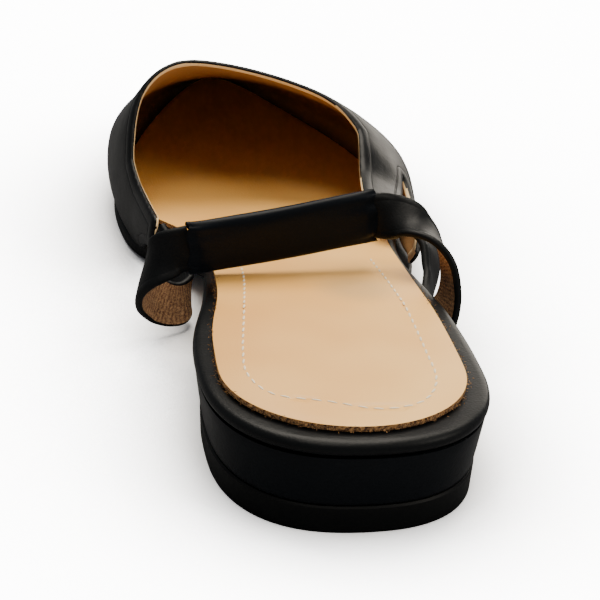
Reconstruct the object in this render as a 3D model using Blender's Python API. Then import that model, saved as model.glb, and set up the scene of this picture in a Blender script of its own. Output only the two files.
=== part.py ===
import math

import bmesh
import bpy
import numpy as np
from mathutils import Vector

# Slingback sandal for the right foot with a low block heel, metres, +Y to the toe, +X lateral, +Z up

# Driving sizes
LENGTH = 0.255
BALL_WIDTH = 0.0828
INSTEP_HEIGHT = 0.052
HEEL_HEIGHT = 0.0177
DRAWN_HEEL = 0.0177  # heel height that the side tables were drawn for
GROOVE_HEIGHT = 0.0060
WALL = 0.0018
SOLE_THICK = 0.0034
SOCK_THICK = 0.0012
GAP = 0.0003
STRAP_WIDTH = 0.0110
STRAP_THICK = 0.0020
SLEEVE_WIDTH = 0.0135
SLEEVE_THICK = 0.0052
FEATHER_TUCK = 0.0025
SOLE_INSET = 0.0020
BOARD_INSET = 0.0047
SOCK_INSET = 0.0056
HEEL_INSET_TOP = 0.0006
HEEL_INSET_LOW = 0.0022
BREAST_STATION = 62.0 / 255.0
JOIN_STATION = 150.0 / 255.0  # ahead of it the plan follows the upper
HEEL_DEPTH = 35.7 / 255.0  # length of the rounded rear end

# Share of the side taken by the part below the widest line
LOW_SHARE = 0.12

# Lengths in the tables are shares of LENGTH, widths of BALL_WIDTH and heights of INSTEP_HEIGHT
UPPER_PLAN = [
    # station, lateral, medial, ridge across: outer plan of the upper
    (0.392, 0.362, -0.350, -0.169),
    (0.420, 0.399, -0.374, -0.169),
    (0.471, 0.441, -0.406, -0.169),
    (0.529, 0.467, -0.431, -0.181),
    (0.588, 0.495, -0.457, -0.199),
    (0.645, 0.517, -0.476, -0.223),
    (0.690, 0.519, -0.481, -0.157),
    (0.745, 0.498, -0.469, -0.103),
    (0.800, 0.447, -0.432, -0.079),
    (0.859, 0.360, -0.365, -0.066),
    (0.910, 0.261, -0.292, -0.051),
    (0.949, 0.181, -0.222, -0.036),
    (0.980, 0.101, -0.150, -0.027),
]
TIP_ACROSS = -0.0242

UPPER_HEIGHTS = [
    # station, ridge height, widest height, bend lateral, bend medial
    (0.392, 0.587, 0.294, 1.4, 2),
    (0.463, 0.654, 0.292, 1.4, 2),
    (0.541, 0.740, 0.296, 1.42, 2),
    (0.588, 0.962, 0.298, 1.45, 2),
    (0.616, 1.019, 0.298, 1.5, 2),
    (0.647, 0.940, 0.300, 1.58, 2),
    (0.698, 0.827, 0.300, 1.5, 2),
    (0.749, 0.735, 0.292, 1.5, 2),
    (0.831, 0.600, 0.281, 1.62, 2),
    (0.902, 0.504, 0.285, 1.85, 2),
    (0.961, 0.419, 0.294, 2, 2),
    (1.000, 0.300, 0.300, 2, 2),
]

SOLE_SIDE = [
    # station, tread height, sock height: side view of the sole
    (0.243, 0.269, 0.431),
    (0.314, 0.237, 0.398),
    (0.373, 0.196, 0.363),
    (0.420, 0.156, 0.331),
    (0.490, 0.081, 0.275),
    (0.541, 0.027, 0.235),
    (0.580, 0.000, 0.210),
    (0.647, 0.000, 0.190),
    (0.702, 0.000, 0.187),
    (0.784, 0.017, 0.204),
    (0.882, 0.071, 0.254),
    (0.961, 0.135, 0.317),
    (1.000, 0.171, 0.350),
]

TREAD_PLAN = [
    # station, lateral, medial: outline of the outsole behind the ball
    (0.243, 0.320, -0.344),
    (0.282, 0.307, -0.304),
    (0.329, 0.297, -0.254),
    (0.373, 0.306, -0.222),
    (0.420, 0.374, -0.225),
    (0.471, 0.413, -0.260),
    (0.529, 0.442, -0.356),
    (0.573, 0.464, -0.415),
]

BOARD_PLAN = [
    # station, lateral, medial: outline of the footbed behind the ball
    (0.120, 0.350, -0.379),
    (0.180, 0.354, -0.377),
    (0.227, 0.350, -0.354),
    (0.275, 0.343, -0.319),
    (0.329, 0.336, -0.291),
    (0.373, 0.332, -0.273),
    (0.420, 0.338, -0.261),
    (0.471, 0.362, -0.275),
    (0.529, 0.401, -0.326),
    (0.573, 0.428, -0.386),
]

SOCK_PLAN = [
    # station, lateral, medial: outline of the sock behind the ball
    (0.120, 0.287, -0.333),
    (0.196, 0.293, -0.320),
    (0.275, 0.291, -0.272),
    (0.353, 0.297, -0.254),
    (0.431, 0.309, -0.243),
    (0.510, 0.349, -0.277),
    (0.573, 0.406, -0.362),
]

UPPER_BACK_EDGE = [
    # side share, station: back edge of the upper, lateral feather to medial feather
    (0, 0.420),
    (0.06, 0.433),
    (0.11, 0.459),
    (0.14, 0.502),
    (0.16, 0.541),
    (0.175, 0.569),
    (0.19, 0.581),
    (0.235, 0.588),
    (0.28, 0.594),
    (0.295, 0.608),
    (0.32, 0.625),
    (0.36, 0.640),
    (0.42, 0.647),
    (0.5, 0.648),
    (0.56, 0.644),
    (0.62, 0.637),
    (0.69, 0.625),
    (0.75, 0.604),
    (0.797, 0.580),
    (0.9, 0.561),
    (1, 0.549),
]

LATERAL_STRAP = [
    # across, along, up, edge direction across, along, up
    (0.336, 0.479, 0.408, 10.2, 2.2, -3.6),
    (0.357, 0.457, 0.419, 9.4, 3.4, -3),
    (0.394, 0.434, 0.400, 8, 4, -4.6),
    (0.418, 0.409, 0.323, 5, 2, -8.4),
    (0.401, 0.385, 0.223, 1.4, 0.6, -10),
    (0.372, 0.357, 0.173, 0.4, 0, -10),
    (0.360, 0.331, 0.165, 1, -1, -9.8),
    (0.367, 0.311, 0.183, 3, -5, -8),
    (0.389, 0.303, 0.269, 2, -9, -2),
    (0.399, 0.305, 0.377, 1, -9.9, 0),
    (0.389, 0.313, 0.481, 0.6, -9.8, 0.4),
    (0.357, 0.325, 0.562, 0.4, -9.6, -1),
    (0.314, 0.338, 0.608, 0, -9.2, -2.8),
    (0.266, 0.351, 0.623, 0.4, -6.6, -6.8),
    (0.213, 0.356, 0.619, 1.4, -1.6, -9.8),
]

MEDIAL_STRAP = [
    # across, along, up, edge direction across, along, up
    (-0.350, 0.331, 0.527, 0, 0, 10),
    (-0.391, 0.331, 0.504, 1, 1, 10),
    (-0.428, 0.336, 0.438, 2.4, 3, 9.2),
    (-0.449, 0.350, 0.346, 3, 5, 8.4),
    (-0.444, 0.365, 0.254, 2.2, 5.2, 8.6),
    (-0.411, 0.377, 0.185, 0.6, 3.6, 9.4),
    (-0.365, 0.382, 0.148, -0.3, 1.6, 10),
    (-0.325, 0.389, 0.142, -0.5, 0.6, 10),
    (-0.307, 0.403, 0.165, 0, 0, 10),
    (-0.324, 0.421, 0.217, 0, 0, 10),
    (-0.357, 0.438, 0.277, 0, 0, 10),
    (-0.385, 0.456, 0.331, 0, 0, 10),
]

SLEEVE_PATH = [
    # across, along, up, edge direction across, along, up, thickness share
    (-0.333, 0.331, 0.523, 0.6, -1.6, 10, 0.62),
    (-0.304, 0.331, 0.527, 0.5, -1.5, 10, 1),
    (-0.181, 0.336, 0.550, 0.2, -1.2, 10, 0.92),
    (-0.060, 0.343, 0.573, 0, -1, 10, 0.9),
    (0.060, 0.349, 0.596, -0.6, -1, 10, 0.92),
    (0.164, 0.354, 0.615, -1.6, -1.2, 10, 1),
    (0.198, 0.356, 0.623, -1.9, -1.2, 10, 0.62),
]

# node, colour as linear RGB, roughness, metallic
MATERIALS = {
    "upper": ((0.010, 0.011, 0.012), 0.42, 0.0),
    "outsole": ((0.012, 0.012, 0.012), 0.60, 0.0),
    "heel_block": ((0.010, 0.011, 0.012), 0.45, 0.0),
    "top_lift": ((0.012, 0.012, 0.012), 0.60, 0.0),
    "footbed": ((0.010, 0.011, 0.012), 0.45, 0.0),
    "sock": ((0.80, 0.57, 0.31), 0.62, 0.0),
    "sling_lateral": ((0.010, 0.011, 0.012), 0.42, 0.0),
    "sling_medial": ((0.010, 0.011, 0.012), 0.42, 0.0),
    "elastic_sleeve": ((0.012, 0.013, 0.015), 0.35, 0.0),
}


def smooth(xs, ys, x):
    """Value at x of a smooth curve through the points, without overshoot between them."""
    xs = np.asarray(xs, float)
    ys = np.asarray(ys, float)
    x = float(min(max(x, xs[0]), xs[-1]))
    step = np.diff(xs)
    rise = np.diff(ys) / step
    slope = np.zeros(len(xs))
    slope[0] = rise[0]
    slope[-1] = rise[-1]
    for i in range(1, len(xs) - 1):
        if rise[i - 1] * rise[i] > 0:
            weight = step[i - 1] + step[i]
            slope[i] = 3 * weight / ((weight + step[i]) / rise[i - 1] + (weight + step[i - 1]) / rise[i])
    i = int(min(np.searchsorted(xs, x, side="right") - 1, len(xs) - 2))
    t = (x - xs[i]) / step[i]
    a = (1 + 2 * t) * (1 - t) ** 2 * ys[i] + t * (1 - t) ** 2 * step[i] * slope[i]
    b = t * t * (3 - 2 * t) * ys[i + 1] + t * t * (t - 1) * step[i] * slope[i + 1]
    return a + b


def column(table, index):
    """One column of a table, beside its first column."""
    return [row[0] for row in table], [row[index] for row in table]


def toe_plan(y):
    """Lateral and medial x of the upper's widest line at length y; the squared width closes evenly at the tip."""
    share = y / LENGTH
    stations = [row[0] for row in UPPER_PLAN] + [1.0]
    result = []
    for index in (1, 2):
        squares = [(row[index] - TIP_ACROSS) ** 2 for row in UPPER_PLAN] + [0.0]
        width = math.sqrt(max(smooth(stations, squares, share), 0.0))
        result.append((TIP_ACROSS + (width if index == 1 else -width)) * BALL_WIDTH)
    return result


def plan_normal(outline, y, side):
    """Outward plan direction of an outline at length y; side 0 is lateral, side 1 medial."""
    step = LENGTH * 0.001
    sign = 1.0 if side == 0 else -1.0
    if y > LENGTH * 0.9999:
        return 0.0, 1.0
    low, high = max(y - step, 0.0), min(y + step, LENGTH)
    slope = (outline(high)[side] - outline(low)[side]) * sign / (high - low)
    size = math.hypot(1.0, slope)
    return sign / size, -slope / size


def tread_height(y):
    xs, ys = column(SOLE_SIDE, 1)
    return smooth(xs, ys, y / LENGTH) * INSTEP_HEIGHT * HEEL_HEIGHT / DRAWN_HEEL


def sock_height(y):
    xs, ys = column(SOLE_SIDE, 2)
    rise = HEEL_HEIGHT - DRAWN_HEEL
    return smooth(xs, ys, y / LENGTH) * INSTEP_HEIGHT + rise * max(0.0, 1 - y / (0.6 * LENGTH))


def sole_top(y):
    return tread_height(y) + SOLE_THICK


def board_bottom(y):
    return sole_top(y) + GAP


def board_top(y):
    return sock_height(y) - SOCK_THICK - GAP


def upper_point(y, v):
    """Point of the upper's outer face: length y, side share v from the lateral to the medial feather edge."""
    lateral, medial = toe_plan(y)
    share = y / LENGTH
    ridge_x = smooth([row[0] for row in UPPER_PLAN] + [1.0], [row[3] for row in UPPER_PLAN] + [TIP_ACROSS], share) * BALL_WIDTH
    xs, ys = column(UPPER_HEIGHTS, 2)
    wide_z = smooth(xs, ys, share) * INSTEP_HEIGHT
    squares = [(row[1] - row[2]) ** 2 for row in UPPER_HEIGHTS]
    rise = math.sqrt(max(smooth(xs, squares, share), 0.0)) * INSTEP_HEIGHT
    foot_z = sole_top(y) + GAP
    side = 0 if v <= 0.5 else 1
    edge = lateral if side == 0 else medial
    w = v if side == 0 else 1.0 - v
    if w < LOW_SHARE:
        up = w / LOW_SHARE
        nx, ny = plan_normal(toe_plan, y, side)
        tuck = FEATHER_TUCK * (1 - up) ** 2
        return Vector((edge - nx * tuck, y - ny * tuck, foot_z + (wide_z - foot_z) * up))
    angle = (w - LOW_SHARE) / (0.5 - LOW_SHARE) * math.pi / 2
    xs, ys = column(UPPER_HEIGHTS, 3 + side)
    power = 2.0 / smooth(xs, ys, share)
    x = ridge_x + (edge - ridge_x) * max(math.cos(angle), 0.0) ** power
    z = wide_z + rise * math.sin(angle) ** power
    return Vector((x, y, z))


def back_edge(v):
    xs, ys = column(UPPER_BACK_EDGE, 1)
    return smooth(xs, ys, v) * LENGTH


def new_object(name, bm):
    """Make the named object from a mesh, with its own material."""
    bmesh.ops.remove_doubles(bm, verts=bm.verts, dist=0.00005)
    bmesh.ops.dissolve_degenerate(bm, dist=0.00001, edges=bm.edges)
    bmesh.ops.recalc_face_normals(bm, faces=bm.faces)
    mesh = bpy.data.meshes.new(name)
    bm.to_mesh(mesh)
    bm.free()
    obj = bpy.data.objects.new(name, mesh)
    bpy.context.scene.collection.objects.link(obj)
    colour, roughness, metallic = MATERIALS[name]
    material = bpy.data.materials.new(name)
    material.use_nodes = True
    shader = material.node_tree.nodes["Principled BSDF"]
    shader.inputs["Base Color"].default_value = (colour[0], colour[1], colour[2], 1.0)
    shader.inputs["Roughness"].default_value = roughness
    shader.inputs["Metallic"].default_value = metallic
    mesh.materials.append(material)
    return obj


def build_upper():
    """Vamp with both wings as one shell: a main grid and two tongues that carry on behind it."""
    shares = [0.0, 0.03, 0.06, 0.09, 0.115, 0.135, 0.15, 0.163, 0.175, 0.19, 0.2125, 0.235, 0.2575, 0.28, 0.29, 0.305, 0.325, 0.35]
    shares += [0.38, 0.41, 0.44, 0.47, 0.5, 0.53, 0.56, 0.59, 0.62, 0.655, 0.69, 0.72, 0.75, 0.775, 0.797]
    shares += [0.825, 0.85, 0.88, 0.91, 0.94, 0.97, 1.0]
    tongues = [
        # first share, last share, end shares, end stations, rows
        (0.19, 0.28, (0.206, 0.286), (124.6 / 255.0, 123.2 / 255.0), 9),
        (0.797, 1.0, (0.797, 0.925), (118.0 / 255.0, 118.0 / 255.0), 9),
    ]
    rows = 32
    bm = bmesh.new()
    front = {}
    grid = []
    for v in shares:
        start = back_edge(v)
        line = []
        for r in range(rows + 1):
            t = 1.0 - (1.0 - r / rows) ** 1.5
            line.append(bm.verts.new(upper_point(start + (LENGTH - start) * t, v)))
        front[v] = line[0]
        grid.append(line)
    for a, b in zip(grid, grid[1:]):
        for r in range(rows):
            bm.faces.new((a[r], b[r], b[r + 1], a[r + 1]))
    for first, last, ends, stations, count in tongues:
        inside = [v for v in shares if first <= v <= last]
        lines = []
        for v in inside:
            s = (v - first) / (last - first)
            tail_v = ends[0] + (ends[1] - ends[0]) * s
            tail_y = (stations[0] + (stations[1] - stations[0]) * s) * LENGTH
            tail_y += (2 * s - 1) ** 4 * 0.0012
            joint = back_edge(v)
            line = []
            for r in range(count):
                t = r / count
                y = tail_y + (joint - tail_y) * t
                line.append(bm.verts.new(upper_point(y, tail_v + (v - tail_v) * t * t * (3 - 2 * t))))
            line.append(front[v])
            lines.append(line)
        for a, b in zip(lines, lines[1:]):
            for r in range(count):
                bm.faces.new((a[r], b[r], b[r + 1], a[r + 1]))
    obj = new_object("upper", bm)
    shell = obj.modifiers.new("wall", "SOLIDIFY")
    shell.thickness = WALL
    shell.offset = -1.0
    shell.use_even_offset = False
    return obj


class Outline:
    """Plan edge of a flat part: a table behind the ball, the upper's plan ahead of it, a rounded heel if wanted."""

    def __init__(self, table, inset, back=None, depth=None, power=2.0):
        self.table = table
        self.inset = inset
        self.join = JOIN_STATION * LENGTH
        self.back = back
        self.depth = depth
        self.power = power
        self.stations = [row[0] for row in table] + [self.join / LENGTH]
        self.widths = []
        for side in (0, 1):
            x, y, nx, ny = self.toe_edge(self.join, side)
            self.widths.append([row[1 + side] for row in table] + [x / BALL_WIDTH])

    def toe_edge(self, y, side):
        nx, ny = plan_normal(toe_plan, y, side)
        return toe_plan(y)[side] - nx * self.inset, y - ny * self.inset, nx, ny

    def across(self, y, side):
        share = y / LENGTH
        if self.back is None:
            return smooth(self.stations, self.widths[side], share) * BALL_WIDTH
        turn = self.back + self.depth
        x = smooth(self.stations, self.widths[side], max(share, turn)) * BALL_WIDTH
        if share < turn:
            middle = -0.016 * BALL_WIDTH
            bow = max(1.0 - ((turn - share) / self.depth) ** self.power, 0.0) ** (1.0 / self.power)
            x = middle + (x - middle) * bow
        return x

    def edge(self, y, side):
        """Edge point and outward direction in plan at length y."""
        if y >= self.join:
            return self.toe_edge(y, side)
        if self.back is not None and y <= self.back * LENGTH + 0.00001:
            return self.across(y, side), y, 0.0, -1.0
        sign = 1.0 if side == 0 else -1.0
        step = LENGTH * 0.0005
        low = y - step
        if self.back is not None:
            low = max(low, self.back * LENGTH)
        slope = (self.across(y + step, side) - self.across(low, side)) * sign / (y + step - low)
        size = math.hypot(1.0, slope)
        return self.across(y, side), y, sign / size, -slope / size


def loft(name, outline, stations, profile, spread):
    """Closed solid over plan stations; the profile lists edge offset and height from the top face to the bottom."""
    bm = bmesh.new()
    rings = []
    for y in stations:
        sides = []
        for side in (0, 1):
            x, py, nx, ny = outline.edge(y, side)
            sides.append([Vector((x + nx * off, py + ny * off, z)) for off, z in profile(y)])
        points = [sides[1][0].lerp(sides[0][0], s) for s in spread]
        points += sides[0]
        points += [sides[1][-1].lerp(sides[0][-1], s) for s in reversed(spread)]
        points += list(reversed(sides[1]))
        rings.append([bm.verts.new(p) for p in points])
    count = len(rings[0])
    for a, b in zip(rings, rings[1:]):
        for i in range(count):
            j = (i + 1) % count
            bm.faces.new((a[i], a[j], b[j], b[i]))
    for ring in (rings[0], rings[-1]):
        reach = max((v.co - ring[0].co).length for v in ring)
        if reach > 0.008:
            bm.faces.new(ring)
    return new_object(name, bm)


def heel_stations(back, depth, front, ahead):
    """Stations close together round the heel, then even to the front."""
    result = []
    for i in range(9):
        result.append((back + depth * (1 - math.cos(i / 8 * math.pi / 2))) * LENGTH)
    start = result[-1]
    for i in range(1, ahead + 1):
        result.append(start + (front - start) * i / ahead)
    return result


def toe_stations(start, count):
    return [LENGTH - (LENGTH - start) * (1 - i / count) ** 1.7 for i in range(1, count + 1)]


def build_bottom():
    """Outsole, heel block, top lift, footbed and sock."""
    spread = (0.25, 0.5, 0.75)
    breast = BREAST_STATION * LENGTH
    join = JOIN_STATION * LENGTH
    sole = Outline(TREAD_PLAN, SOLE_INSET)
    first = breast + 2 * GAP
    middle = [first + (join - first) * i / 12 for i in range(13)]

    def sole_profile(y):
        top, low = sole_top(y), tread_height(y)
        return [(-0.0006, top), (0.0, top - 0.0006), (0.0, low + 0.0008), (-0.0008, low)]
    loft("outsole", sole, middle + toe_stations(join, 13), sole_profile, spread)

    depth = HEEL_DEPTH
    board = Outline(BOARD_PLAN, BOARD_INSET, 0.0, depth, 2.4)

    def board_profile(y):
        top, low = board_top(y), board_bottom(y)
        thick = top - low
        return [(-0.0018, top), (-0.0006, top - thick * 0.16), (0.0, top - thick * 0.48), (-0.0003, low + thick * 0.2), (-0.0011, low)]
    back = heel_stations(0.0, depth, join, 13)
    loft("footbed", board, back + toe_stations(join, 13), board_profile, spread)

    sock_back = 4.56 / 255.0
    sock_depth = 25.9 / 255.0
    sock = Outline(SOCK_PLAN, SOCK_INSET, sock_back, sock_depth, 2.03)

    def sock_profile(y):
        top = sock_height(y)
        return [(0.0, top), (0.0, top - SOCK_THICK)]
    back = heel_stations(sock_back, sock_depth, join, 12)
    loft("sock", sock, back + toe_stations(join, 13), sock_profile, spread)

    heel = Outline(BOARD_PLAN, BOARD_INSET, 0.0, depth, 2.4)
    back = heel_stations(0.0, depth, breast, 4)

    def block_profile(y):
        return [(-HEEL_INSET_TOP, sole_top(y)), (-HEEL_INSET_LOW, GROOVE_HEIGHT + GAP + 0.0004), (-HEEL_INSET_LOW - 0.0004, GROOVE_HEIGHT + GAP / 2)]

    def lift_profile(y):
        top = GROOVE_HEIGHT - GAP / 2
        return [(-HEEL_INSET_LOW - 0.0004, top), (-HEEL_INSET_LOW, top - 0.0004), (-HEEL_INSET_LOW - 0.0003, 0.0)]
    loft("heel_block", heel, back, block_profile, spread)
    loft("top_lift", heel, back, lift_profile, spread)


def path_point(table, s):
    """Centre and edge direction on a swept part at s, counted in table rows."""
    count = len(table)
    i = int(min(max(math.floor(s), 0), count - 2))
    t = s - i
    units = (BALL_WIDTH, LENGTH, INSTEP_HEIGHT, 1, 1, 1)
    rows = [table[max(i - 1, 0)], table[i], table[i + 1], table[min(i + 2, count - 1)]]
    values = []
    for k in range(len(table[0])):
        p0, p1, p2, p3 = (row[k] for row in rows)
        value = p1 + 0.5 * t * (p2 - p0 + t * (2 * p0 - 5 * p1 + 4 * p2 - p3 + t * (3 * (p1 - p2) + p3 - p0)))
        values.append(value * (units[k] if k < 6 else 1))
    return values


def sweep(name, table, width, thick, steps, section, bulge=False):
    """Strap or casing: a section carried along the table's path, its edge direction kept by the table."""
    bm = bmesh.new()
    rings = []
    total = len(table) - 1
    for i in range(steps + 1):
        s = total * i / steps
        here = path_point(table, s)
        before = path_point(table, max(s - 0.05, 0.0))
        after = path_point(table, min(s + 0.05, total))
        centre = Vector(here[:3])
        along = (Vector(after[:3]) - Vector(before[:3])).normalized()
        edge = Vector(here[3:6])
        edge = (edge - along * edge.dot(along)).normalized()
        out = along.cross(edge)
        grow = here[6] if bulge else 1.0
        rings.append([bm.verts.new(centre + edge * (a * width) + out * (b * thick * grow)) for a, b in section])
    count = len(section)
    for a, b in zip(rings, rings[1:]):
        for i in range(count):
            j = (i + 1) % count
            bm.faces.new((a[i], a[j], b[j], b[i]))
    bm.faces.new(rings[0])
    bm.faces.new(rings[-1])
    return new_object(name, bm)


def build_straps():
    flat = [(-0.5, 0.1), (-0.45, 0.5), (0.45, 0.5), (0.5, 0.1), (0.5, -0.2), (0.46, -0.5), (-0.46, -0.5), (-0.5, -0.2)]
    sweep("sling_lateral", LATERAL_STRAP, STRAP_WIDTH, STRAP_THICK, 44, flat)
    sweep("sling_medial", MEDIAL_STRAP, STRAP_WIDTH, STRAP_THICK, 30, flat)
    tube = []
    for i in range(14):
        angle = (i + 0.5) / 14 * 2 * math.pi
        c, s = math.cos(angle), math.sin(angle)
        tube.append((0.5 * math.copysign(abs(c) ** 0.7, c), 0.5 * math.copysign(abs(s) ** 0.8, s)))
    sweep("elastic_sleeve", SLEEVE_PATH, SLEEVE_WIDTH, SLEEVE_THICK, 16, tube, True)


def settle(names):
    """Move all parts so that the bounding box stands centred on the origin with its bottom at zero."""
    depsgraph = bpy.context.evaluated_depsgraph_get()
    points = []
    for name in names:
        shape = bpy.data.objects[name].evaluated_get(depsgraph)
        points += [tuple(v.co) for v in shape.data.vertices]
    points = np.array(points)
    low, high = points.min(axis=0), points.max(axis=0)
    shift = Vector((-(low[0] + high[0]) / 2, -(low[1] + high[1]) / 2, -low[2]))
    for name in names:
        for vertex in bpy.data.objects[name].data.vertices:
            vertex.co += shift
    return shift


def main():
    for obj in list(bpy.data.objects):
        bpy.data.objects.remove(obj, do_unlink=True)
    build_upper()
    build_bottom()
    build_straps()
    settle(list(MATERIALS))


main()
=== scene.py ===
import math

import bmesh
import bpy
import numpy as np
from mathutils import Matrix, Vector, kdtree


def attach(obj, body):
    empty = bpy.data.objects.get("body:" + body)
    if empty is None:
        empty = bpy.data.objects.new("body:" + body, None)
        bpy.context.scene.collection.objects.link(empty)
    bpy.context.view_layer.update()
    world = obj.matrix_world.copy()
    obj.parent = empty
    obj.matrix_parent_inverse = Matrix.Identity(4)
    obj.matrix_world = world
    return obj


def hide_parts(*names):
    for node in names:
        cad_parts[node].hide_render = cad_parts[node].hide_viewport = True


# Slingback sandal for the right foot, metres, +Y to the toe, +X lateral, +Z up
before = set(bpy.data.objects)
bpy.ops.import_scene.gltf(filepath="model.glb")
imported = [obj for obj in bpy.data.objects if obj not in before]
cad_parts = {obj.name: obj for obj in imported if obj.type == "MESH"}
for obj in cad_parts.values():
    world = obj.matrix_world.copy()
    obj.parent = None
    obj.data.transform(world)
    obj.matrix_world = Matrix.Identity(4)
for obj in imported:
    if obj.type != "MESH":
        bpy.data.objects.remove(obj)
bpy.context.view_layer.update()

# The back of the heel and the shoe's own middle line; stations are measured from there
HEEL_Y = -0.1275
MIDDLE_X = -0.001576

# Station and height of the sock's top face, metres
SOCK_TOP = [
    (0.062, 0.0224), (0.080, 0.0207), (0.095, 0.0189), (0.107, 0.0172), (0.125, 0.0143), (0.138, 0.0122),
    (0.148, 0.0109), (0.165, 0.0099), (0.179, 0.0097), (0.200, 0.0106), (0.225, 0.0132), (0.245, 0.0165)]

# Station and height of the line where the upper meets the outsole, metres
FEATHER = [
    (0.107, 0.0118), (0.125, 0.0079), (0.138, 0.0051), (0.148, 0.0037), (0.179, 0.0037), (0.200, 0.0046),
    (0.225, 0.0074), (0.245, 0.0107), (0.255, 0.0126)]

# The upper's wall, and what tells a narrow face of its edge: the wall's play and the longest side
WALL = 0.0018
WALL_PLAY = 0.0002
LONGEST_EDGE_FACE = 0.0075
# The topline lies higher than this above the line at the outsole
CLEAR_OF_SOLE = 0.0022
# A face turned to the foot's axis by more than this share is lining
LINING_TURN = -0.4

# How far the topline's finish reaches, then the turned edge's shape: distance and height, millimetres
EDGE_REACH = 8.0
TURNED_BEAD = ((0.96, 0.62), (2.0, 0.70), (2.64, 0.62), (3.0, 0.12), (3.36, 0.45))

# The heel pad's seam, across and along from the heel, its reach and its stitches, millimetres
SEAM = [
    (-13.8, 98), (-15.2, 80.8), (-18.5, 57.6), (-21.2, 39.4), (-21.7, 28.4), (-17.8, 19.5), (-7.7, 15.7),
    (1.8, 11.9), (9.2, 13.2), (13.8, 17.5), (16.7, 25.4), (17.4, 37.6), (18.0, 54.5), (18.1, 69.9),
    (17.9, 98)]
SEAM_REACH = 6.0
STITCH_PITCH = 3.1
STITCH_RISE = 0.03
# Half of a stitch, metres, and the share by which it leans across the seam
STITCH_HALF_LENGTH = 0.00115
STITCH_HALF_WIDTH = 0.00027
STITCH_HALF_HEIGHT = 0.00020
STITCH_LEAN = 0.10

# A face whose normal rises less than this share belongs to the sock's cut edge
CUT_EDGE_TURN = 0.55
# Fibres on that edge: how many, the station where they end, metres, and a third of a turn, radians
FIBRES = 900
FIBRES_END = 0.085
THIRD_OF_TURN = 2.0944

# Straps and casing: across, along, up of the middle, then the direction of one edge, millimetres
LATERAL = [
    (27.8, 122.2, 21.2, 10.2, 2.2, -3.6), (29.6, 116.5, 21.8, 9.4, 3.4, -3.0),
    (32.6, 110.6, 20.8, 8.0, 4.0, -4.6), (34.6, 104.4, 16.8, 5.0, 2.0, -8.4),
    (33.2, 98.2, 11.6, 1.4, 0.6, -10), (30.8, 91.0, 9.0, 0.4, 0.0, -10),
    (29.8, 84.4, 8.6, 1.0, -1.0, -9.8), (30.4, 79.4, 9.5, 3.0, -5.0, -8.0),
    (32.2, 77.2, 14.0, 2.0, -9.0, -2.0), (33.0, 77.8, 19.6, 1.0, -9.9, 0.0),
    (32.2, 79.8, 25.0, 0.6, -9.8, 0.4), (29.6, 82.8, 29.2, 0.4, -9.6, -1.0),
    (26.0, 86.2, 31.6, 0.0, -9.2, -2.8), (22.0, 89.4, 32.4, 0.4, -6.6, -6.8),
    (15.6, 91.2, 32.3, 1.6, 0.6, -9.9)]
MEDIAL = [
    (-27.0, 84.4, 27.6, 0, 0, 10), (-32.0, 84.3, 26.2, 1.0, 1.0, 10), (-35.4, 85.8, 22.8, 2.4, 3.0, 9.2),
    (-37.2, 89.2, 18.0, 3.0, 5.0, 8.4), (-36.8, 93.2, 13.2, 2.2, 5.2, 8.6), (-34.0, 96.2, 9.6, 0.6, 3.6, 9.4),
    (-30.2, 97.4, 7.7, -0.3, 1.6, 10), (-26.9, 99.2, 7.4, -0.5, 0.6, 10), (-25.4, 102.8, 8.6, 0, 0, 10),
    (-26.8, 107.4, 11.3, 0, 0, 10), (-29.6, 111.6, 14.4, 0, 0, 10), (-31.9, 116.3, 17.2, 0, 0, 10)]
CASING = [
    (-28.0, 84.4, 27.2, 0.6, -1.6, 10), (-25.2, 84.5, 27.4, 0.5, -1.5, 10), (-15, 85.8, 28.6, 0.2, -1.2, 10),
    (-5, 87.4, 29.8, 0.0, -1.0, 10), (5, 89.0, 31.0, -0.6, -1.0, 10), (13.6, 90.3, 32.0, -1.6, -1.2, 10),
    (16.6, 90.7, 32.4, -1.9, -1.2, 10)]

# Strap in millimetres; its section in shares of them: left half of the turned leather, then the backing
STRAP_WIDTH = 11.0
STRAP_THICK = 2.0
TURNED_HALF = [
    (-0.43, -0.50), (-0.475, -0.44), (-0.50, -0.18), (-0.495, 0.18), (-0.455, 0.42), (-0.36, 0.50),
    (-0.335, 0.44), (-0.31, 0.50), (-0.12, 0.54)]
BACKING = [(0.405, -0.42), (0.2, -0.43), (-0.2, -0.43), (-0.405, -0.42)]

# Casing over the elastic, metres, but for the length of its draw-in, millimetres, and the inset, a share
CASING_WIDTH = 0.0133
CASING_THICK = 0.0044
TUCK_DEPTH = 0.00028
WAVE_DEPTH = 0.00012
TUCK_SHIFT = 0.0004
TUCK_FADE = 4.5
END_SINK = 0.0006
END_INSET = 0.22

# Stage: paper, world and lights, each light with its place, size in metres and power in watts
PAPER = "#F7F7F8"
PAPER_IN_LEATHER = "#65676B"
PAPER_GLOW = 12.0
# reach and power of the painted shadow in the paper's glow near the shoe
PAPER_SHADE_REACH = 0.13
PAPER_SHADE_POWER = 4.5
WORLD_ON_SHOE = 0.22
WORLD_BEHIND_SHOE = 7.0
LAMP_COLOUR = (1.0, 0.92, 0.80)
LAMPS = (
    ("top_softbox", (0.10, 0.42, 1.00), 0.8, 23.0),
    ("side_softbox", (0.75, -0.45, 0.60), 0.4, 4.0),
    ("rear_softbox", (-0.10, -0.30, 1.20), 0.5, 5.5),
    ("toe_softbox", (0.60, 0.90, 0.16), 0.5, 4.0))

# Camera: place in millimetres on the shoe's lines, and angles in degrees
CAMERA_PLACE = (-73.66, -294.75, 182.07)
CAMERA_YAW = 3.01
CAMERA_PITCH = 23.12
CAMERA_ROLL = -0.15
# How far the shoe's middle lies right of and below the photograph's, and the focal length, pixels
SHOE_RIGHT = 113
SHOE_BELOW = 10
PHOTO_FOCAL = 900

# A Mix node's sockets for its two colours, and for the colour that comes out
COLOUR_A = 6
COLOUR_B = 7
MIXED = 2


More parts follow.
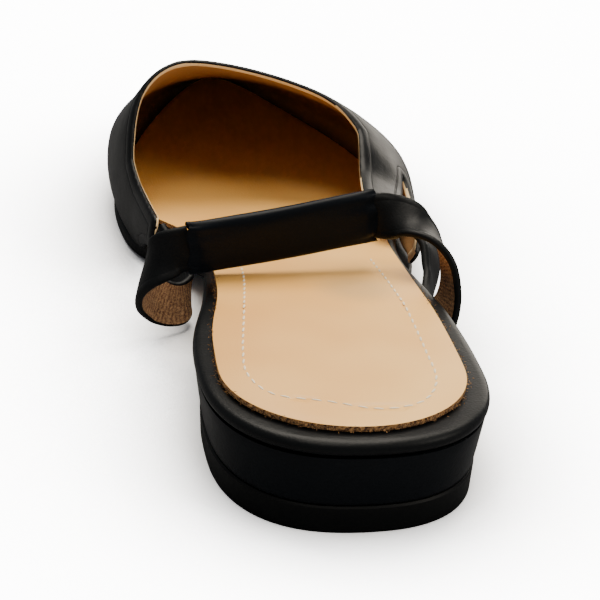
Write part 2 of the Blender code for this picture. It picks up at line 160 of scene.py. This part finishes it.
def at(across, along, up):
    """Place given in millimetres on the shoe's own lines, in the scene's frame."""
    return Vector((across / 1000 + MIDDLE_X, along / 1000 + HEEL_Y, up / 1000))


def follow(table, value):
    """Value of a two-column table, read between its rows."""
    return float(np.interp(value, [row[0] for row in table], [row[1] for row in table]))


def curve(points, i, share):
    """Place past the i-th point by a share of its span, on a smooth line through all the points."""
    near = (max(i - 1, 0), i, i + 1, min(i + 2, len(points) - 1))
    a, b, c, d = (np.array(points[j], float) for j in near)
    bend = 2 * a - 5 * b + 4 * c - d + share * (3 * (b - c) + d - a)
    return b + 0.5 * share * (c - a + share * bend)


def linear(code):
    """sRGB hex to linear colour."""
    parts = [int(code[i:i + 2], 16) / 255 for i in (1, 3, 5)]
    return tuple(c / 12.92 if c <= 0.04045 else ((c + 0.055) / 1.055) ** 2.4 for c in parts) + (1.0,)


def feed(tree, node, inputs):
    """Give each named input a plain value, or the link that feeds it."""
    for name, source in inputs.items():
        if isinstance(source, bpy.types.NodeSocket):
            tree.links.new(source, node.inputs[name])
        else:
            node.inputs[name].default_value = source


def add(tree, kind, inputs=None, ramp=(), **settings):
    """Add one node with its settings, its inputs and, on a colour ramp, its two stops."""
    node = tree.nodes.new(kind)
    for name, value in settings.items():
        setattr(node, name, value)
    for i, (position, colour) in enumerate(ramp):
        node.color_ramp.elements[i].position = position
        node.color_ramp.elements[i].color = colour
    feed(tree, node, inputs or {})
    return node


def new_material(name):
    """New material with its node tree and its shader."""
    material = bpy.data.materials.new(name)
    material.use_nodes = True
    tree = material.node_tree
    shader = tree.nodes["Principled BSDF"]
    return material, tree, shader


def smooth_leather(name, dark, light, rough, grain, depth, shine, fold=False):
    """Chrome-tanned calf with a fine pressed grain; the finish film gives a soft grey sheen."""
    material, tree, shader = new_material(name)
    place = add(tree, "ShaderNodeTexCoord").outputs["Object"]
    # hair cells of the given size in millimetres, coarser than real ones so that they show
    cells = add(tree, "ShaderNodeTexVoronoi", {"Vector": place, "Scale": 1000.0 / grain}, feature="F1")
    # unevenness about 2.4 mm wide, and clouds about 26 mm wide
    pores = add(tree, "ShaderNodeTexNoise", {
        "Vector": place, "Scale": 420.0, "Detail": 4.0, "Roughness": 0.6})
    cloud = add(tree, "ShaderNodeTexNoise", {
        "Vector": place, "Scale": 38.0, "Detail": 3.0, "Roughness": 0.55})
    tone = add(tree, "ShaderNodeValToRGB", {"Fac": cloud.outputs["Fac"]},
               ramp=((0.0, linear(dark)), (1.0, linear(light))))
    wear = add(tree, "ShaderNodeMapRange", {
        "Value": cloud.outputs["Fac"], "From Min": 0.3, "From Max": 0.7,
        "To Min": rough - 0.05, "To Max": rough + 0.07})
    fine = add(tree, "ShaderNodeBump", {
        "Height": cells.outputs["Distance"], "Strength": 0.35, "Distance": depth})
    last = add(tree, "ShaderNodeBump", {
        "Height": pores.outputs["Fac"], "Normal": fine.outputs["Normal"],
        "Strength": 0.5, "Distance": depth * 1.4})
    if fold:
        # the turned edge lies as a flat bead 3 mm wide, with a fine groove behind it
        edge = add(tree, "ShaderNodeAttribute", attribute_name="edge_mm")
        span = add(tree, "ShaderNodeMath", {0: edge.outputs["Fac"], 1: EDGE_REACH}, operation="DIVIDE")
        bead = add(tree, "ShaderNodeFloatCurve", {"Value": span.outputs[0]})
        points = bead.mapping.curves[0].points
        for distance, height in TURNED_BEAD:
            points.new(distance / EDGE_REACH, height)
        points[0].location = (0.0, 0.30)
        points[-1].location = (1.0, 0.50)
        bead.mapping.update()
        last = add(tree, "ShaderNodeBump", {
            "Height": bead.outputs["Value"], "Normal": last.outputs["Normal"],
            "Strength": 0.9, "Distance": 0.0007})
    feed(tree, shader, {
        "Base Color": tone.outputs["Color"], "Roughness": wear.outputs["Result"],
        "Normal": last.outputs["Normal"], "IOR": 1.33, "Specular IOR Level": shine})
    return material


def lining_leather(name, shade, lit):
    """Thin pigskin lining, matt with short pores; its cut edge shows as a cream line at the topline."""
    material, tree, shader = new_material(name)
    place = add(tree, "ShaderNodeTexCoord").outputs["Object"]
    # clouds about 17 mm wide and pores 0.7 mm apart
    cloud = add(tree, "ShaderNodeTexNoise", {
        "Vector": place, "Scale": 60.0, "Detail": 5.0, "Roughness": 0.6})
    pores = add(tree, "ShaderNodeTexVoronoi", {"Vector": place, "Scale": 1400.0})
    tone = add(tree, "ShaderNodeValToRGB", {"Fac": cloud.outputs["Fac"]},
               ramp=((0.0, linear(shade)), (1.0, linear(lit))))
    edge = add(tree, "ShaderNodeAttribute", attribute_name="edge_mm")
    past_line = add(tree, "ShaderNodeMapRange", {
        "Value": edge.outputs["Fac"], "From Min": 1.6, "From Max": 2.0})
    colour = add(tree, "ShaderNodeMix", data_type="RGBA", inputs={
        "Factor": past_line.outputs["Result"], COLOUR_A: linear("#EBD0A0"), COLOUR_B: tone.outputs["Color"]})
    bump = add(tree, "ShaderNodeBump", {
        "Height": pores.outputs["Distance"], "Strength": 0.4, "Distance": 0.00012})
    feed(tree, shader, {
        "Base Color": colour.outputs[MIXED], "Roughness": 0.62, "Normal": bump.outputs["Normal"]})
    return material


def strap_lining(name):
    """Split leather backing of the straps: matt, fibrous, with a faint rib about every millimetre."""
    material, tree, shader = new_material(name)
    strip = add(tree, "ShaderNodeUVMap", uv_map="strip").outputs["UV"]
    rib = add(tree, "ShaderNodeTexWave", wave_type="BANDS", bands_direction="X", inputs={
        "Vector": strip, "Scale": 0.34, "Distortion": 5.0, "Detail": 3.0, "Detail Scale": 1.6})
    # fibres about half a millimetre wide, coarser than real ones so that they show
    fuzz = add(tree, "ShaderNodeTexNoise", {
        "Vector": strip, "Scale": 1.9, "Detail": 8.0, "Roughness": 0.75, "Distortion": 0.8})
    ribs = add(tree, "ShaderNodeMath", {0: rib.outputs["Fac"], 1: 0.09}, operation="MULTIPLY")
    both = add(tree, "ShaderNodeMath", {0: ribs.outputs[0], 1: fuzz.outputs["Fac"]}, operation="ADD")
    tone = add(tree, "ShaderNodeValToRGB", {"Fac": both.outputs[0]},
               ramp=((0.44, linear("#5E3A20")), (0.78, linear("#D8A878"))))
    bump = add(tree, "ShaderNodeBump", {"Height": both.outputs[0], "Strength": 0.8, "Distance": 0.0004})
    feed(tree, shader, {
        "Base Color": tone.outputs["Color"], "Roughness": 0.9, "Normal": bump.outputs["Normal"]})
    return material


def sock_leather():
    """Tan sock leather, plated smooth; slightly cloudy where it is glued down."""
    material, tree, shader = new_material("sock_tan_leather")
    place = add(tree, "ShaderNodeTexCoord").outputs["Object"]
    # clouds about 38 mm wide and grain cells of 0.45 mm
    cloud = add(tree, "ShaderNodeTexNoise", {
        "Vector": place, "Scale": 26.0, "Detail": 2.0, "Roughness": 0.5})
    cells = add(tree, "ShaderNodeTexVoronoi", {"Vector": place, "Scale": 2200.0})
    tone = add(tree, "ShaderNodeValToRGB", {"Fac": cloud.outputs["Fac"]},
               ramp=((0.3, linear("#E0A24C")), (0.7, linear("#EFBA66"))))
    # painted shade: a soft grey patch on the sock below the casing, lateral of the middle, where the casing's
    # shadow falls
    casing_shade_distance = add(tree, "ShaderNodeVectorMath", {0: place, 1: at(10, 74, 21)}, operation="DISTANCE")
    painted_casing_shade = add(tree, "ShaderNodeMapRange", interpolation_type="SMOOTHSTEP", inputs={
        "Value": casing_shade_distance.outputs["Value"], "From Min": 0.003, "From Max": 0.013, "To Min": 0.42, "To Max": 0.0})
    colour = add(tree, "ShaderNodeMix", data_type="RGBA", inputs={
        "Factor": painted_casing_shade.outputs["Result"], COLOUR_A: tone.outputs["Color"], COLOUR_B: linear("#8F7A5C")})
    fine = add(tree, "ShaderNodeBump", {
        "Height": cells.outputs["Distance"], "Strength": 0.25, "Distance": 0.00008})
    lie = add(tree, "ShaderNodeBump", {
        "Height": cloud.outputs["Fac"], "Normal": fine.outputs["Normal"],
        "Strength": 0.35, "Distance": 0.0012})
    # the stitches pull the leather down in a shallow channel
    seam = add(tree, "ShaderNodeAttribute", attribute_name="seam_mm")
    dip = add(tree, "ShaderNodeMapRange", interpolation_type="SMOOTHSTEP", inputs={
        "Value": seam.outputs["Fac"], "From Min": 0.2, "From Max": 1.8})
    pull = add(tree, "ShaderNodeBump", {
        "Height": dip.outputs["Result"], "Normal": lie.outputs["Normal"],
        "Strength": 0.8, "Distance": 0.00045})
    feed(tree, shader, {
        "Base Color": colour.outputs[MIXED], "Roughness": 0.5, "Normal": pull.outputs["Normal"]})
    return material


def raw_edge():
    """Cut edge of the sock, loose brown fibres."""
    material, tree, shader = new_material("raw_leather_edge")
    place = add(tree, "ShaderNodeTexCoord").outputs["Object"]
    # bundles of fibre about 0.7 mm wide
    fibres = add(tree, "ShaderNodeTexNoise", {
        "Vector": place, "Scale": 1500.0, "Detail": 6.0, "Roughness": 0.75})
    tone = add(tree, "ShaderNodeValToRGB", {"Fac": fibres.outputs["Fac"]},
               ramp=((0.42, linear("#3A2414")), (0.66, linear("#C9965C"))))
    bump = add(tree, "ShaderNodeBump", {
        "Height": fibres.outputs["Fac"], "Strength": 0.9, "Distance": 0.0003})
    feed(tree, shader, {
        "Base Color": tone.outputs["Color"], "Roughness": 0.9, "Normal": bump.outputs["Normal"]})
    return material


def plain(name, code, rough):
    """Even finish with a faint mottle about 3 mm wide, for thread and rubber."""
    material, tree, shader = new_material(name)
    place = add(tree, "ShaderNodeTexCoord").outputs["Object"]
    cloud = add(tree, "ShaderNodeTexNoise", {"Vector": place, "Scale": 300.0, "Detail": 4.0})
    full = linear(code)
    dim = tuple(c * 0.75 for c in full[:3]) + (1.0,)
    tone = add(tree, "ShaderNodeValToRGB", {"Fac": cloud.outputs["Fac"]}, ramp=((0.0, dim), (1.0, full)))
    bump = add(tree, "ShaderNodeBump", {
        "Height": cloud.outputs["Fac"], "Strength": 0.4, "Distance": 0.0001})
    feed(tree, shader, {
        "Base Color": tone.outputs["Color"], "Roughness": rough, "Normal": bump.outputs["Normal"],
        "Specular IOR Level": 0.12})
    return material


def only(piece):
    """Make one piece the selected and active one, in object mode."""
    if bpy.context.object and bpy.context.object.mode != "OBJECT":
        bpy.ops.object.mode_set(mode="OBJECT")
    bpy.ops.object.select_all(action="DESELECT")
    piece.select_set(True)
    bpy.context.view_layer.objects.active = piece


def new_piece(name, mesh, *materials):
    """Put a mesh in the scene as a piece with its materials."""
    for material in materials:
        mesh.materials.append(material)
    piece = bpy.data.objects.new(name, mesh)
    bpy.context.scene.collection.objects.link(piece)
    return piece


def copy_of(node, name):
    """A merged copy of a CAD node with its triangles joined to quads."""
    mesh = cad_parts[node].data.copy()
    mesh.materials.clear()
    piece = new_piece(name, mesh)
    only(piece)
    bpy.ops.object.mode_set(mode="EDIT")
    bpy.ops.mesh.select_all(action="SELECT")
    bpy.ops.mesh.remove_doubles(threshold=0.00001)
    bpy.ops.mesh.tris_convert_to_quads(face_threshold=math.radians(50), shape_threshold=math.radians(60))
    bpy.ops.object.mode_set(mode="OBJECT")
    return piece


def subdivide(piece, levels):
    """Smooth the surface by whole rounds of subdivision."""
    only(piece)
    modifier = piece.modifiers.new("surface", "SUBSURF")
    modifier.levels = levels
    modifier.render_levels = levels
    modifier.use_limit_surface = False
    bpy.ops.object.modifier_apply(modifier=modifier.name)


def round_outline(piece, levels):
    """Subdivide a flat part so that its outline turns evenly and its sharp edges stay."""
    only(piece)
    bpy.ops.object.mode_set(mode="EDIT")
    bpy.ops.mesh.select_mode(type="EDGE")
    bpy.ops.mesh.select_all(action="DESELECT")
    bpy.ops.mesh.edges_select_sharp(sharpness=math.radians(40))
    bpy.ops.transform.edge_crease(value=1.0)
    bpy.ops.object.mode_set(mode="OBJECT")
    subdivide(piece, levels)


def bevel(piece, width, segments, degrees):
    """Round the edges that are sharper than the given angle."""
    only(piece)
    modifier = piece.modifiers.new("edges", "BEVEL")
    modifier.width = width
    modifier.segments = segments
    modifier.limit_method = "ANGLE"
    modifier.angle_limit = math.radians(degrees)
    bpy.ops.object.modifier_apply(modifier=modifier.name)


def shade_by_angle(piece, degrees):
    """Shade smooth but for the edges that are sharper than the given angle."""
    only(piece)
    bpy.ops.object.shade_smooth_by_angle(angle=math.radians(degrees))


def shade_round(mesh):
    """Shade the whole mesh smooth."""
    for polygon in mesh.polygons:
        polygon.use_smooth = True


def finish_piece(piece, slot, *nodes):
    """Attach a piece to the root body and hide the CAD nodes that it stands for; its slot is not used."""
    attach(piece, "root")
    if nodes:
        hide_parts(*nodes)


def store_distance(piece, name, places, points, reach):
    """Keep the distance in millimetres from each vertex's place to the nearest point, up to reach."""
    tree = kdtree.KDTree(len(points))
    for i, point in enumerate(points):
        tree.insert(point, i)
    tree.balance()
    values = [min(tree.find(place)[2] * 1000, reach) for place in places]
    layer = piece.data.attributes.new(name, "FLOAT", "POINT")
    layer.data.foreach_set("value", np.asarray(values, np.float32))


def facing(point, normal):
    """Share by which a face of the upper looks away from the foot's axis, from 1 down to -1."""
    y = min(point.y, HEEL_Y + 0.232)
    axis = Vector((MIDDLE_X - 0.003, y, follow(SOCK_TOP, y - HEEL_Y) + 0.004))
    return (point - axis).normalized().dot(normal)


def clear_of_sole(point):
    """Whether a point of the upper's edge belongs to the topline and not to the line at the outsole."""
    return point.z > follow(FEATHER, point.y - HEEL_Y) + CLEAR_OF_SOLE


def topline_points(mesh):
    """Points along the topline, where narrow faces of the edge join the upper's two sheets."""
    bm = bmesh.new()
    bm.from_mesh(mesh)
    points = []
    for face in bm.faces:
        across = [edge for edge in face.edges if abs(edge.calc_length() - WALL) < WALL_PLAY]
        if len(across) < 2 or face.calc_area() >= WALL * LONGEST_EDGE_FACE:
            continue
        mates = [other for edge in face.edges for other in edge.link_faces if other is not face]
        if sum(1 for other in mates if abs(other.normal.dot(face.normal)) < 0.5) < 2:
            continue
        points += [vertex.co.copy() for vertex in face.verts if clear_of_sole(vertex.co)]
        for edge in face.edges:
            start, end = edge.verts[0].co, edge.verts[1].co
            if clear_of_sole((start + end) / 2):
                points += [start.lerp(end, share) for share in (0.25, 0.5, 0.75)]
    bm.free()
    return points


def make_upper(black, lining):
    """Vamp and wings: black leather outside, lining inside, the topline folded over."""
    piece = copy_of("upper", "vamp_and_wings")
    points = topline_points(piece.data)
    subdivide(piece, 2)
    mesh = piece.data
    store_distance(piece, "edge_mm", [vertex.co for vertex in mesh.vertices], points, EDGE_REACH)
    mesh.materials.append(black)
    mesh.materials.append(lining)
    for polygon in mesh.polygons:
        inside = facing(Vector(polygon.center), Vector(polygon.normal)) < LINING_TURN
        polygon.material_index = 1 if inside else 0
    shade_round(mesh)
    finish_piece(piece, "black_leather", "upper")


def make_footbed(wrap):
    """Footbed with its rounded wrapped rim."""
    piece = copy_of("footbed", "footbed_rim")
    subdivide(piece, 2)
    piece.data.materials.append(wrap)
    shade_round(piece.data)
    finish_piece(piece, "black_leather", "footbed")


def make_bottom(block, rubber):
    """Wrapped heel block, the lift under it and the outsole."""
    for node, name, slot, material, width, segments, degrees in (
        ("heel_block", "wrapped_heel", "black_leather", block, 0.0005, 3, 45),
        ("top_lift", "heel_lift", "sole_rubber", rubber, 0.0005, 3, 45),
        ("outsole", "sole_unit", "sole_rubber", rubber, 0.0003, 2, 50),
    ):
        piece = copy_of(node, name)
        round_outline(piece, 2)
        bevel(piece, width, segments, degrees)
        shade_by_angle(piece, 40)
        piece.data.materials.append(material)
        finish_piece(piece, slot, node)


def even_line(points, count):
    """Even places along a smooth line through the given points, and the line's length."""
    fine = []
    for i in range(len(points) - 1):
        for share in np.linspace(0, 1, 20, endpoint=False):
            fine.append(curve(points, i, share))
    fine.append(np.array(points[-1]))
    fine = np.array(fine)
    length = np.concatenate([[0], np.cumsum(np.linalg.norm(np.diff(fine, axis=0), axis=1))])
    want = np.linspace(0, length[-1], count)
    places = [np.interp(want, length, fine[:, k]) for k in range(fine.shape[1])]
    return np.stack(places, axis=1), length[-1]


def make_sock(leather, edge):
    """Sock sheet with its cut edge; its distance from the seam is kept as an attribute."""
    piece = copy_of("sock", "tan_sock")
    round_outline(piece, 2)
    bevel(piece, 0.00018, 2, 60)
    line, _ = even_line(SEAM, 400)
    flat = [Vector((vertex.co.x, vertex.co.y, 0)) for vertex in piece.data.vertices]
    store_distance(piece, "seam_mm", flat, [at(x, y, 0) for x, y in line], SEAM_REACH)
    piece.data.materials.append(leather)
    piece.data.materials.append(edge)
    for polygon in piece.data.polygons:
        polygon.material_index = 1 if abs(polygon.normal.z) < CUT_EDGE_TURN else 0
    shade_by_angle(piece, 35)
    finish_piece(piece, "tan_sock", "sock")
    return piece


def make_stitches(thread):
    """One lockstitch modelled and copied along the seam, joined as one piece."""
    bpy.ops.object.select_all(action="DESELECT")
    bpy.ops.mesh.primitive_uv_sphere_add(segments=8, ring_count=6, radius=1.0, location=(0, 0, 0))
    stitch = bpy.context.object
    shape = [tuple(vertex.co) for vertex in stitch.data.vertices]
    faces = [tuple(polygon.vertices) for polygon in stitch.data.polygons]
    bpy.data.objects.remove(stitch)
    _, total = even_line(SEAM, 2)
    count = int(total / STITCH_PITCH)
    line, _ = even_line(SEAM, count * 2 + 1)
    verts = []
    polys = []
    for i in range(count):
        x, y = line[i * 2 + 1]
        ahead = line[i * 2 + 2] - line[i * 2]
        along = Vector((ahead[0], ahead[1], 0)).normalized()
        slope = (follow(SOCK_TOP, (y + 1) / 1000) - follow(SOCK_TOP, (y - 1) / 1000)) / 0.002
        along = Vector((along.x, along.y, along.y * slope)).normalized()
        side = along.cross(Vector((0, 0, 1))).normalized()
        lean = (along + side * STITCH_LEAN).normalized()
        up = side.cross(along)
        centre = at(x, y, follow(SOCK_TOP, y / 1000) * 1000 + STITCH_RISE)
        base = len(verts)
        for a, b, c in shape:
            verts.append(centre + lean * (a * STITCH_HALF_LENGTH) + side * (b * STITCH_HALF_WIDTH)
                         + up * (c * STITCH_HALF_HEIGHT))
        polys += [tuple(base + k for k in face) for face in faces]
    mesh = bpy.data.meshes.new("heel_pad_stitches")
    mesh.from_pydata(verts, [], polys)
    shade_round(mesh)
    finish_piece(new_piece("heel_pad_stitches", mesh, thread), "tan_sock")


def make_fibres(sock, edge):
    """Loose fibres along the sock's cut edge round the heel, each a slim three-sided spike."""
    rng = np.random.default_rng(11)
    rims = [polygon for polygon in sock.data.polygons
            if abs(polygon.normal.z) < CUT_EDGE_TURN and polygon.center.y < HEEL_Y + FIBRES_END]
    areas = np.array([polygon.area for polygon in rims])
    picks = rng.choice(len(rims), FIBRES, p=areas / areas.sum())
    verts = []
    polys = []
    for pick in picks:
        face = rims[int(pick)]
        spot = Vector(face.center) + Vector(rng.normal(0, 0.0004, 3))
        top = follow(SOCK_TOP, spot.y - HEEL_Y)
        spot.z = min(max(spot.z, top - 0.0010), top - 0.00005)
        out = (Vector(face.normal) + Vector(rng.normal(0, 0.55, 3))).normalized()
        side = out.cross(Vector((0.3, 0.2, 1))).normalized()
        up = side.cross(out)
        size = float(rng.uniform(0.00025, 0.00070))
        wide = float(rng.uniform(0.00006, 0.00013))
        base = len(verts)
        for k in range(3):
            turn = k * THIRD_OF_TURN
            verts.append(spot + side * (math.cos(turn) * wide) + up * (math.sin(turn) * wide))
        verts.append(spot + out * size)
        for a, b, c in ((0, 1, 3), (1, 2, 3), (2, 0, 3), (2, 1, 0)):
            polys.append((base + a, base + b, base + c))
    mesh = bpy.data.meshes.new("sock_edge_fibres")
    mesh.from_pydata(verts, [], polys)
    finish_piece(new_piece("sock_edge_fibres", mesh, edge), "tan_sock")


def rings_along(table, steps):
    """Centre, edge direction, outward direction, heading and travelled length at even steps of a path."""
    total = len(table) - 1
    look = 0.05
    result = []
    travelled = 0.0

    def place(s):
        i = min(max(math.floor(s), 0), total - 1)
        return curve(table, i, s - i)

    for step in range(steps + 1):
        s = total * step / steps
        here, before, after = place(s), place(max(s - look, 0.0)), place(min(s + look, total))
        centre = at(*here[:3])
        along = Vector(after[:3] - before[:3]).normalized()
        edge = Vector(here[3:6])
        edge = (edge - along * edge.dot(along)).normalized()
        if result:
            travelled += (centre - result[-1][0]).length
        result.append((centre, edge, along.cross(edge), along, travelled))
    return result


def closed_mesh(bm, name):
    """Mesh of a closed form, its faces turned outwards."""
    bmesh.ops.recalc_face_normals(bm, faces=bm.faces)
    mesh = bpy.data.meshes.new(name)
    bm.to_mesh(mesh)
    bm.free()
    return mesh


def make_strap(name, table, steps, side, black, backing, node):
    """Strap of two layers: leather with its edges turned over a slightly sunk backing."""
    section = TURNED_HALF + [(-a, b) for a, b in reversed(TURNED_HALF)] + BACKING
    backing_start = 2 * len(TURNED_HALF) - 1
    width, thick = STRAP_WIDTH / 1000, STRAP_THICK / 1000
    bm = bmesh.new()
    strip = bm.loops.layers.uv.new("strip")
    rings = []
    places = rings_along(table, steps)
    for centre, edge, out, _, _ in places:
        spots = [centre + edge * (a * width) + out * (b * thick * side) for a, b in section]
        rings.append([bm.verts.new(spot) for spot in spots])
    count = len(section)
    for i in range(steps):
        for k in range(count):
            j = (k + 1) % count
            face = bm.faces.new((rings[i][k], rings[i][j], rings[i + 1][j], rings[i + 1][k]))
            face.material_index = 1 if k >= backing_start else 0
            for loop, (a, b) in zip(face.loops, ((i, k), (i, j), (i + 1, j), (i + 1, k))):
                loop[strip].uv = (places[a][4] * 1000, section[b][0] * STRAP_WIDTH)
    bm.faces.new(rings[0])
    bm.faces.new(rings[-1])
    piece = new_piece(name, closed_mesh(bm, name), black, backing)
    subdivide(piece, 1)
    shade_round(piece.data)
    finish_piece(piece, "strap_leather", node)


def casing_ring(bm, ring, count, whole):
    """One ring of the casing: a flattened tube, drawn in near both ends into small tucks."""
    centre, edge, out, along, travelled = ring
    near = min(travelled, whole - travelled) * 1000
    plump = min(1.0, 0.72 + near / 9.0)
    tuck = math.exp(-near / TUCK_FADE)
    points = []
    for k in range(count):
        angle = k / count * 2 * math.pi
        c, s = math.cos(angle), math.sin(angle)
        a = 0.5 * math.copysign(abs(c) ** 0.85, c)
        b = 0.5 * math.copysign(abs(s) ** 0.7, s)
        fold = (TUCK_DEPTH * tuck * math.cos(angle * 9 + 0.8)
                + WAVE_DEPTH * math.cos(angle * 3 + travelled / whole * 7))
        point = centre + edge * (a * CASING_WIDTH + fold * c) + out * (b * CASING_THICK * plump + fold * s)
        points.append(bm.verts.new(point + along * (TUCK_SHIFT * tuck * math.sin(angle * 5))))
    return points


def make_casing(leather):
    """Casing over the elastic, closed at both ends with a slightly sunk face."""
    count = 48
    bm = bmesh.new()
    places = rings_along(CASING, 60)
    rings = [casing_ring(bm, place, count, places[-1][4]) for place in places]
    for a, b in zip(rings, rings[1:]):
        for k in range(count):
            j = (k + 1) % count
            bm.faces.new((a[k], a[j], b[j], b[k]))
    for ring, inwards in ((rings[0], places[0][3]), (rings[-1], -places[-1][3])):
        centre = sum((vertex.co for vertex in ring), Vector()) / count
        inner = [bm.verts.new(vertex.co.lerp(centre, END_INSET) + inwards * END_SINK) for vertex in ring]
        for k in range(count):
            j = (k + 1) % count
            bm.faces.new((ring[k], ring[j], inner[j], inner[k]))
        bm.faces.new(inner)
    piece = new_piece("gathered_casing", closed_mesh(bm, "gathered_casing"), leather)
    shade_by_angle(piece, 60)
    finish_piece(piece, "casing_leather", "elastic_sleeve")


def make_floor():
    """Pale paper floor; only the camera sees its added brightness, as the photograph's is overexposed."""
    bpy.ops.object.select_all(action="DESELECT")
    bpy.ops.mesh.primitive_plane_add(size=6, location=(0, 0, -0.0001))
    floor = bpy.context.object
    floor.name = "floor"
    material, tree, shader = new_material("matt_white_paper")
    seen = add(tree, "ShaderNodeLightPath")
    glow = add(tree, "ShaderNodeMath", operation="MULTIPLY", inputs={
        0: seen.outputs["Is Camera Ray"], 1: PAPER_GLOW})
    # reflections show a dimmer paper than the camera does, which keeps the leather darker
    paper = add(tree, "ShaderNodeMix", data_type="RGBA", inputs={
        "Factor": seen.outputs["Is Glossy Ray"], COLOUR_A: linear(PAPER), COLOUR_B: linear(PAPER_IN_LEATHER)})
    # painted shadow: the paper's glow is dimmed to a soft grey where the shoe is near
    near = add(tree, "ShaderNodeAmbientOcclusion", {"Distance": PAPER_SHADE_REACH}, samples=8)
    soft = add(tree, "ShaderNodeMath", {0: near.outputs["AO"], 1: PAPER_SHADE_POWER}, operation="POWER")
    shaded = add(tree, "ShaderNodeMath", {0: glow.outputs[0], 1: soft.outputs[0]}, operation="MULTIPLY")
    feed(tree, shader, {
        "Base Color": paper.outputs[MIXED], "Roughness": 0.9, "Specular IOR Level": 0.1,
        "Emission Color": (1.0, 1.0, 1.0, 1.0), "Emission Strength": shaded.outputs[0]})
    floor.data.materials.append(material)


def make_lights():
    """Soft lights turned to the shoe, and a world that is dim for the shoe and bright behind it."""
    world = bpy.data.worlds.new("studio")
    bpy.context.scene.world = world
    world.use_nodes = True
    tree = world.node_tree
    seen = add(tree, "ShaderNodeLightPath")
    level = add(tree, "ShaderNodeMapRange", {
        "Value": seen.outputs["Is Camera Ray"], "To Min": WORLD_ON_SHOE, "To Max": WORLD_BEHIND_SHOE})
    feed(tree, tree.nodes["Background"], {"Color": linear("#EEF1F6"), "Strength": level.outputs["Result"]})
    for name, place, size, power in LAMPS:
        bpy.ops.object.light_add(type="AREA", location=place)
        light = bpy.context.object
        light.name = name
        light.data.size = size
        light.data.energy = power
        light.data.color = LAMP_COLOUR
        light.rotation_euler = (Vector(place) * -1).to_track_quat("-Z", "Y").to_euler()


def make_camera():
    """Camera at the photograph's place behind the heel, turned so that the shoe is in the middle."""
    data = bpy.data.cameras.new("camera")
    camera = bpy.data.objects.new("camera", data)
    bpy.context.scene.collection.objects.link(camera)
    data.sensor_width = 36
    data.lens = 108
    place = at(*CAMERA_PLACE)
    # the photograph's own axis, then turned by the angle that brings the shoe to the middle
    yaw, pitch, roll = math.radians(CAMERA_YAW), math.radians(CAMERA_PITCH), math.radians(CAMERA_ROLL)
    forward = Vector((math.sin(yaw) * math.cos(pitch), math.cos(yaw) * math.cos(pitch), -math.sin(pitch)))
    right = Vector((math.cos(yaw), -math.sin(yaw), 0))
    down = forward.cross(right)
    c, s = math.cos(roll), math.sin(roll)
    right, down = right * c + down * s, down * c - right * s
    aim = (forward + right * (SHOE_RIGHT / PHOTO_FOCAL) + down * (SHOE_BELOW / PHOTO_FOCAL)).normalized()
    right = (right - aim * right.dot(aim)).normalized()
    down = aim.cross(right)
    camera.matrix_world = Matrix((
        (right.x, -down.x, -aim.x, place.x),
        (right.y, -down.y, -aim.y, place.y),
        (right.z, -down.z, -aim.z, place.z),
        (0, 0, 0, 1),
    ))
    bpy.context.scene.camera = camera


def main():
    """Make the camera, the finishes, the pieces and the stage."""
    make_camera()
    # dark and light tone, roughness, grain in millimetres, its depth, shine, and the turned edge
    black = smooth_leather("black_calf", "#08090A", "#0E1012", 0.40, 0.55, 0.00007, 0.26, True)
    strap_black = smooth_leather("black_calf_strap", "#08090A", "#0E1012", 0.44, 0.5, 0.00008, 0.2)
    wrap = smooth_leather("black_calf_wrap", "#08090A", "#0E1012", 0.36, 0.6, 0.00006, 0.2)
    block = smooth_leather("black_calf_heel", "#07090C", "#0C0F13", 0.34, 0.7, 0.00004, 0.12)
    casing = smooth_leather("black_nappa_casing", "#070A0E", "#0B0F15", 0.33, 0.8, 0.00003, 0.12)
    lining = lining_leather("tan_pigskin_lining", "#8A6238", "#A87E4C")
    rubber = plain("black_rubber_sole", "#0A0B0C", 0.5)
    edge = raw_edge()
    make_upper(black, lining)
    make_footbed(wrap)
    make_bottom(block, rubber)
    sock = make_sock(sock_leather(), edge)
    make_stitches(plain("waxed_linen_thread", "#F6E9CF", 0.6))
    make_fibres(sock, edge)
    backing = strap_lining("split_leather_backing")
    make_strap("lateral_sling", LATERAL, 150, 1, strap_black, backing, "sling_lateral")
    make_strap("medial_sling", MEDIAL, 110, -1, strap_black, backing, "sling_medial")
    make_casing(casing)
    make_floor()
    make_lights()


main()
